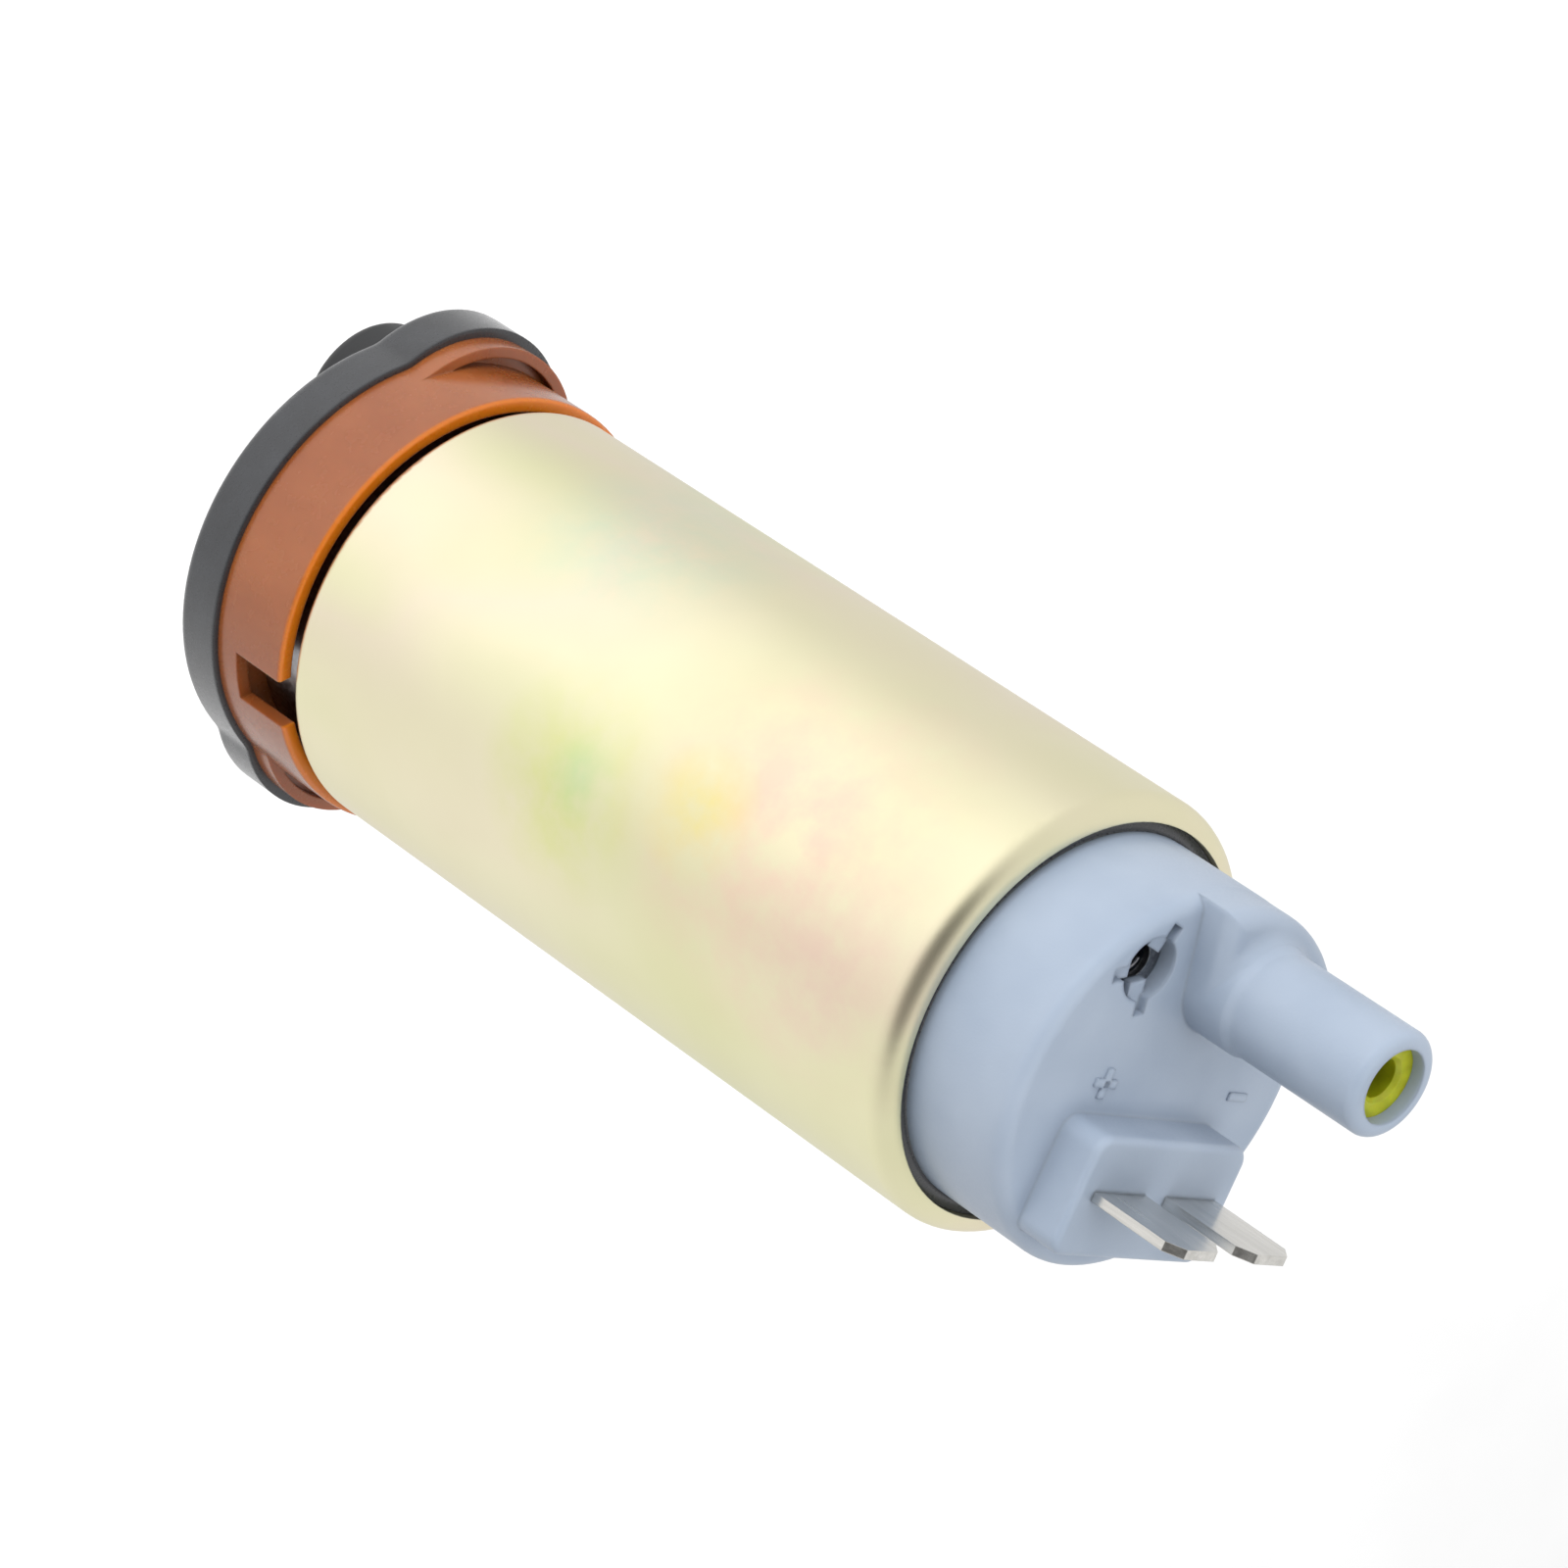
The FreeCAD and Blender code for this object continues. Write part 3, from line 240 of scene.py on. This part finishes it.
def relief(tree, heights, round_mm):
    """A normal from (pattern, depth in mm) pairs, over edges softened by round_mm."""
    rounding = {"samples": EDGE_SAMPLES, "Radius": round_mm * MM}
    normal = add(tree, "ShaderNodeBevel", rounding).outputs[0]
    for height, depth_mm in heights:
        settings = {"Strength": 1.0, "Distance": depth_mm * MM}
        normal = add(tree, "ShaderNodeBump", settings, {"Height": height, "Normal": normal}).outputs[0]
    return normal


def shade(tree, colour, rough, normal, **values):
    """The shader and its output. A value is named for its socket, with an underscore for each space."""
    settings = {name.replace("_", " "): value for name, value in values.items()}
    links = {"Base Color": colour, "Roughness": rough, "Normal": normal}
    shader = add(tree, "ShaderNodeBsdfPrincipled", settings, links)
    add(tree, "ShaderNodeOutputMaterial", {}, {"Surface": shader.outputs[0]})


def on_can(azimuth, z_mm):
    """A point on the can's outside."""
    angle = math.radians(azimuth)
    return (CAN_RADIUS * math.cos(angle), CAN_RADIUS * math.sin(angle), z_mm * MM)


def yellow_chromated_steel():
    """Zinc plate passivated in chromate: a satin metal with a straw tint that drifts to green and pink."""
    material, tree, place = new_material("yellow_chromated_steel")
    drift = blotches(tree, place, 26.0, 2.0, 0.45, squeeze=(1, 1, 0.55), shift=(0.013, 0.02, 0.004))
    film = tones(tree, drift, [(0.30, "#E3E1B4"), (0.42, "#E9E5BF"), (0.52, "#EDE6C5"),
                               (0.62, "#EDE2C8"), (0.74, "#E6E4BA")])
    smear = blotches(tree, place, 5.5, 4.0, 0.6)
    tear = {"From Min": 0.35, "From Max": 0.65, "To Min": 0.15, "To Max": 1.0}
    ragged = add(tree, "ShaderNodeMapRange", tear, {"Value": smear}).outputs["Result"]
    for azimuth, z_mm, inner_mm, outer_mm, colour, strength in FILM_PATCHES:
        patch = near(tree, place, on_can(azimuth, z_mm), inner_mm, outer_mm)
        uneven = add(tree, "ShaderNodeMath", {"operation": "MULTIPLY"}, {0: patch, 1: ragged}).outputs[0]
        amount = add(tree, "ShaderNodeMath", {"operation": "MULTIPLY", 1: strength}, {0: uneven}).outputs[0]
        film = stain(tree, film, amount, colour)
    grain = blotches(tree, place, 0.28, 2.0)
    rough = gloss(tree, blotches(tree, place, 9.0), 0.34, 0.42)
    normal = relief(tree, [(grain, 0.004), (blotches(tree, place, 14.0, 1.0), 0.02)], round_mm=0.12)
    shade(tree, film, rough, normal, Metallic=1.0)
    return material


def grey_blue_acetal():
    """Injection-moulded acetal: pale grey-blue, satin, with the fine bite of a spark-eroded mould."""
    material, tree, place = new_material("grey_blue_acetal")
    cloud = blotches(tree, place, 8.0, 2.0)
    colour = tones(tree, cloud, [(0.3, "#8894A4"), (0.7, "#919CAB")])
    grain = blotches(tree, place, 0.22, 2.0)
    rough = gloss(tree, grain, 0.34, 0.44)
    normal = relief(tree, [(grain, 0.007), (blotches(tree, place, 0.9, 2.0), 0.012)], round_mm=0.5)
    shade(tree, colour, rough, normal, Subsurface_Weight=0.05, Subsurface_Radius=(0.9, 1.0, 1.2),
          Subsurface_Scale=0.0008, IOR=1.48)
    return material


def amber_phenolic():
    """Moulded brown-orange plastic: glossy skin, and a rim painted bright orange as a painted glow of light
    leaking through the wall.
    """
    material, tree, place = new_material("amber_phenolic")
    swirl = blotches(tree, place, 7.0, 3.0, 0.5, squeeze=(1, 1, 0.5))
    body = tones(tree, swirl, [(0.3, "#804420"), (0.7, "#8E5029")])
    height = add(tree, "ShaderNodeSeparateXYZ", {}, {0: place}).outputs["Z"]
    # Painted glow: the top of the rim is stained bright orange in place of light that leaks through the wall
    rise = {"From Min": COLLAR_RIM_Z - PAINTED_RIM_GLOW_START_MM * MM,
            "From Max": COLLAR_RIM_Z - PAINTED_RIM_GLOW_FULL_MM * MM}
    painted_rim_glow = add(tree, "ShaderNodeMapRange", rise, {"Value": height}).outputs["Result"]
    colour = stain(tree, body, painted_rim_glow, "#C0690F")
    rough = gloss(tree, blotches(tree, place, 1.6), 0.22, 0.30)
    normal = relief(tree, [(swirl, 0.01)], round_mm=0.25)
    shade(tree, colour, rough, normal, Subsurface_Weight=0.2, Subsurface_Radius=(2.0, 0.7, 0.15),
          Subsurface_Scale=0.0012, Coat_Weight=0.2, Coat_Roughness=0.2, IOR=1.5)
    return material


def nitrile_rubber():
    """Moulded nitrile: near black, with a soft grey sheen from its fine matt skin."""
    material, tree, place = new_material("nitrile_rubber")
    bloom = blotches(tree, place, 4.0, 4.0, 0.6)
    colour = tones(tree, bloom, [(0.3, "#1C1D20"), (0.7, "#26282C")])
    rough = gloss(tree, blotches(tree, place, 0.4), 0.24, 0.36)
    normal = relief(tree, [(blotches(tree, place, 0.18, 2.0), 0.006)], round_mm=0.5)
    shade(tree, colour, rough, normal, Sheen_Weight=0.35, Sheen_Roughness=0.4, IOR=1.6)
    return material


def tinned_brass():
    """Stamped brass strip with bright hot-dip tin, finely scratched along the blade by its receptacle."""
    material, tree, place = new_material("tinned_brass")
    wipe = blotches(tree, place, 0.7, 3.0, 0.6, squeeze=(1, 1, 0.08))
    colour = tones(tree, wipe, [(0.3, "#C9C7C2"), (0.7, "#E2E0DB")])
    rough = gloss(tree, wipe, 0.16, 0.28)
    shade(tree, colour, rough, relief(tree, [(wipe, 0.002)], round_mm=0.1), Metallic=1.0)
    return material


def plain_finish(name, dark, light, size_mm, rough, depth_mm, squeeze=(1, 1, 1), **values):
    """A finish of two close tones with a grain of size_mm that shows in colour, gloss and relief."""
    material, tree, place = new_material(name)
    grain = blotches(tree, place, size_mm, squeeze=squeeze)
    colour = tones(tree, grain, [(0.32, dark), (0.68, light)])
    sheen = gloss(tree, grain, rough, rough + 0.1)
    shade(tree, colour, sheen, relief(tree, [(grain, depth_mm)], round_mm=0.08), **values)
    return material


def make_finishes():
    """One material for each slot of the record."""
    return {
        "chromated_steel": yellow_chromated_steel(),
        "grey_blue_plastic": grey_blue_acetal(),
        "amber_plastic": amber_phenolic(),
        "black_rubber": nitrile_rubber(),
        "tinned_brass": tinned_brass(),
        # Glass-filled nylon: black and satin, faintly mottled by its fibres
        "black_plastic": plain_finish("glass_filled_nylon", "#0D0E10", "#17181B", 0.6, 0.36, 0.006, IOR=1.5),
        # Bright pigmented acetal, smooth from the mould
        "yellow_green_plastic": plain_finish("yellow_green_acetal", "#8F930F", "#A3A718", 1.2, 0.28, 0.003,
                                             IOR=1.48, Subsurface_Weight=0.2, Subsurface_Scale=0.0006),
        # Natural acetal: milky white
        "white_plastic": plain_finish("natural_acetal", "#D9D8CF", "#E6E5DC", 1.0, 0.3, 0.003, IOR=1.48),
        # Ground phenolic resin: dark brown with slightly paler specks of filler
        "dark_resin": plain_finish("ground_phenolic", "#201A17", "#332B26", 0.3, 0.45, 0.004, IOR=1.6),
        # Die-cast aluminium, machined flat: pale, with a fine grain
        "die_cast_aluminium": plain_finish("die_cast_aluminium", "#A8ABAE", "#C4C7CA", 0.5, 0.32, 0.004,
                                           Metallic=1.0),
        # Hardened and ground steel: fine grinding round the part
        "hardened_steel": plain_finish("ground_steel", "#9A9B9D", "#B5B6B8", 0.25, 0.2, 0.002, AROUND,
                                       Metallic=1.0),
        # Drawn spring wire: dull bright, with a fine grain from the die
        "spring_steel": plain_finish("drawn_spring_wire", "#7C7D80", "#9FA0A3", 0.3, 0.27, 0.002,
                                     Metallic=1.0),
        # Varnished laminations: thin sheets that show as bands along the axis
        "laminated_steel": plain_finish("varnished_laminations", "#5A5B5E", "#8A8B8E", 0.5, 0.38, 0.02,
                                        IN_SHEETS, Metallic=1.0),
        # Sintered bronze: porous and brownish
        "sintered_bronze": plain_finish("sintered_bronze", "#7E5F38", "#A8844F", 0.15, 0.42, 0.01,
                                        Metallic=1.0),
        # Enamelled copper wire: reddish and glossy, with its tone drawn out round the coil
        "copper": plain_finish("enamelled_copper", "#A0532A", "#C46E3A", 0.3, 0.25, 0.006, AROUND,
                               Metallic=1.0),
        # Pressed ferrite: charcoal grey and dull, with faint streaks along the axis
        "ferrite": plain_finish("pressed_ferrite", "#2B2B2D", "#3D3D40", 0.35, 0.55, 0.008, ALONG),
        # Pressed carbon: black with a graphite gleam
        "carbon": plain_finish("pressed_carbon", "#1A1A1B", "#2C2C2E", 0.2, 0.4, 0.006, Metallic=0.3),
    }


def dress_nodes(finishes):
    """Every carried node takes the finish of its slot."""
    for row in frame["record"]["subparts"]:
        mesh = nodes[row["node"]].data
        mesh.materials.clear()
        mesh.materials.append(finishes[row["material_slot"]])


def piece(name, bm, slot, finishes, body="housing"):
    """Makes an object of the mesh, in place, and seats it on its body."""
    bmesh.ops.recalc_face_normals(bm, faces=bm.faces[:])
    mesh = bpy.data.meshes.new(name)
    bm.to_mesh(mesh)
    bm.free()
    mesh.materials.append(finishes[slot])
    made = bpy.data.objects.new(name, mesh)
    bpy.context.scene.collection.objects.link(made)
    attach(made, body)
    return made


def wound_wire(name, node, wire_mm, turns, end_turns, slot, finishes):
    """Round wire wound between a node's two ends, with closed end turns."""
    low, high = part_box(node)
    middle = (low + high) / 2
    wire = wire_mm * MM
    radius = (high.x - low.x) / 2 - wire / 2
    closed = wire * CLOSED_PITCH
    open_pitch = (high.z - low.z - wire - 2 * end_turns * closed) / turns
    bm = bmesh.new()
    start = Matrix.Translation((middle.x + radius, middle.y, low.z + wire / 2))
    section = start @ Matrix.Rotation(math.pi / 2, 4, "X")
    bmesh.ops.create_circle(bm, cap_ends=False, radius=wire / 2, segments=WIRE_SIDES, matrix=section)
    ring = bm.edges[:] + bm.verts[:]
    for count, pitch in ((end_turns, closed), (turns, open_pitch), (end_turns, closed)):
        steps = round(count * TURN_STEPS)
        spun = bmesh.ops.spin(bm, geom=ring, cent=(middle.x, middle.y, 0), axis=(0, 0, 1),
                              dvec=(0, 0, pitch * count / steps), angle=2 * math.pi * count, steps=steps)
        ring = spun["geom_last"]
    bmesh.ops.remove_doubles(bm, verts=bm.verts[:], dist=wire * WIRE_MERGE)
    bmesh.ops.holes_fill(bm, edges=[edge for edge in bm.edges if edge.is_boundary])
    made = piece(name, bm, slot, finishes)
    made.data.shade_smooth()
    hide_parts(node)
    return made


def make_springs(finishes):
    """Wound springs of spring wire, one in place of each listed node."""
    for node, wire_mm, turns, joint, travel_mm in SPRINGS:
        spring = wound_wire(node + "_wire", node, wire_mm, turns, SPRING_END_TURNS, "spring_steel", finishes)
        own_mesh(spring)


def make_choke_coils(finishes):
    """Close-wound copper on the two ferrite rods."""
    for side in ("positive", "negative"):
        wound_wire("choke_winding_" + side, "choke_coil_" + side, CHOKE_WIRE_MM, CHOKE_TURNS,
                   CHOKE_END_TURNS, "copper", finishes)


def stroke(bm, place_mm, z, length_mm, turn=0.0):
    """One raised stroke of a mark, with softened edges."""
    middle = Matrix.Translation((place_mm[0] * MM, place_mm[1] * MM, z))
    size = Matrix.Diagonal((length_mm * MM, MARK_STROKE_MM * MM, MARK_HEIGHT_MM * MM, 1.0))
    made = bmesh.ops.create_cube(bm, size=1.0, matrix=middle @ Matrix.Rotation(turn, 4, "Z") @ size)
    edges = list({edge for vert in made["verts"] for edge in vert.link_edges})
    bmesh.ops.bevel(bm, geom=edges, offset=MARK_EDGE_MM * MM, offset_type="OFFSET", segments=2, profile=0.5,
                    affect="EDGES", material=-1)


def make_polarity_marks(finishes):
    """Moulded plus and minus on the cover's face, beside the blades."""
    face_z = LIP_Z + FACE_RISE_MM * MM
    plus = bmesh.new()
    stroke(plus, PLUS_PLACE_MM, face_z, PLUS_LENGTH_MM)
    stroke(plus, PLUS_PLACE_MM, face_z, PLUS_LENGTH_MM, turn=math.pi / 2)
    piece("mark_plus", plus, "grey_blue_plastic", finishes)
    minus = bmesh.new()
    stroke(minus, MINUS_PLACE_MM, face_z - MINUS_SINK_MM * MM, MINUS_LENGTH_MM)
    piece("mark_minus", minus, "grey_blue_plastic", finishes)


def make_floor():
    """A plain pale floor, well under the pump, which metal doesn't mirror."""
    level = Matrix.Translation((0, 0, cad_box[0].z - FLOOR_DROP))
    bm = bmesh.new()
    bmesh.ops.create_grid(bm, x_segments=2, y_segments=2, size=FLOOR_SIZE, matrix=level)
    mesh = bpy.data.meshes.new("floor")
    bm.to_mesh(mesh)
    bm.free()
    floor = bpy.data.objects.new("floor", mesh)
    bpy.context.scene.collection.objects.link(floor)
    mesh.materials.append(plain_finish("white_paper", "#F4F4F4", "#F8F8F8", 40.0, 0.9, 0.01))
    floor.visible_glossy = False


def make_camera():
    """The photograph's viewpoint, roll and focal length."""
    data = bpy.data.cameras.new("photo_camera")
    data.sensor_width = SENSOR_MM
    data.lens = SENSOR_MM * FOCAL_PX / IMAGE_PX
    data.clip_start = CAMERA_NEAR
    camera = bpy.data.objects.new("photo_camera", data)
    axes = Matrix((CAMERA_RIGHT, -CAMERA_DOWN, -CAMERA_FORWARD)).transposed()
    position = CAMERA_FROM_LIP + Vector((0, 0, LIP_Z))
    camera.matrix_world = Matrix.Translation(position) @ axes.to_4x4()
    bpy.context.scene.collection.objects.link(camera)
    bpy.context.scene.camera = camera


def direction(azimuth, elevation):
    """The unit vector that points there, from angles in degrees."""
    across = math.radians(azimuth)
    rise = math.radians(elevation)
    return (math.cos(across) * math.cos(rise), math.sin(across) * math.cos(rise), math.sin(rise))


def make_room():
    """A white room with a few lit and shaded sides for the metal to mirror. The camera sees it white."""
    world = bpy.data.worlds.new("white_room")
    world.use_nodes = True
    tree = world.node_tree
    tree.nodes.clear()
    way = add(tree, "ShaderNodeTexCoord").outputs["Generated"]
    height = add(tree, "ShaderNodeSeparateXYZ", {}, {0: way}).outputs["Z"]
    climb = {"From Min": ROOM_CLIMB[0], "From Max": ROOM_CLIMB[1], "To Min": ROOM_LOW, "To Max": ROOM_HIGH}
    level = add(tree, "ShaderNodeMapRange", climb, {"Value": height}).outputs["Result"]
    for azimuth, elevation, core, edge, gain in ROOM_SIDES:
        side = {"operation": "DOT_PRODUCT", 1: direction(azimuth, elevation)}
        facing = add(tree, "ShaderNodeVectorMath", side, {0: way}).outputs["Value"]
        fade = {"From Min": math.cos(math.radians(edge)), "From Max": math.cos(math.radians(core)),
                "To Min": 0, "To Max": gain}
        glow = add(tree, "ShaderNodeMapRange", fade, {"Value": facing}).outputs["Result"]
        level = add(tree, "ShaderNodeMath", {"operation": "ADD"}, {0: level, 1: glow}).outputs[0]
    level = add(tree, "ShaderNodeMath", {"operation": "MAXIMUM", 1: ROOM_DARKEST}, {0: level}).outputs[0]
    seen = add(tree, "ShaderNodeLightPath").outputs["Is Camera Ray"]
    mixed = add(tree, "ShaderNodeMix", {MIX_VALUE_B: 1.0}, {MIX_FACTOR: seen, MIX_VALUE_A: level})
    strength = mixed.outputs[MIX_VALUE]
    backdrop = add(tree, "ShaderNodeBackground", {"Color": (1, 1, 1, 1)}, {"Strength": strength})
    add(tree, "ShaderNodeOutputWorld", {}, {"Surface": backdrop.outputs[0]})
    bpy.context.scene.world = world


def softbox(name, place, sides, power):
    """An area light aimed at the can's middle, placed along the camera's axes and not mirrored by metal."""
    right, up, back = place
    aim = Vector((0, 0, LIP_Z / 2))
    offset = CAMERA_RIGHT * right - CAMERA_DOWN * up - CAMERA_FORWARD * back
    data = bpy.data.lights.new(name, "AREA")
    data.shape = "RECTANGLE"
    data.size, data.size_y = sides
    data.energy = power
    lamp = bpy.data.objects.new(name, data)
    lamp.visible_glossy = False
    lamp.rotation_mode = "QUATERNION"
    lamp.location = aim + offset
    lamp.rotation_quaternion = (-offset).to_track_quat("-Z", "Y")
    bpy.context.scene.collection.objects.link(lamp)


def make_light():
    """Soft studio light, and colours shown as they are, without a film look."""
    for name, place, sides, power in SOFTBOXES:
        softbox(name, place, sides, power)
    bpy.context.scene.view_settings.view_transform = "Standard"


finishes = make_finishes()
dress_nodes(finishes)
make_springs(finishes)
make_choke_coils(finishes)
make_polarity_marks(finishes)
make_floor()
make_camera()
make_room()
make_light()
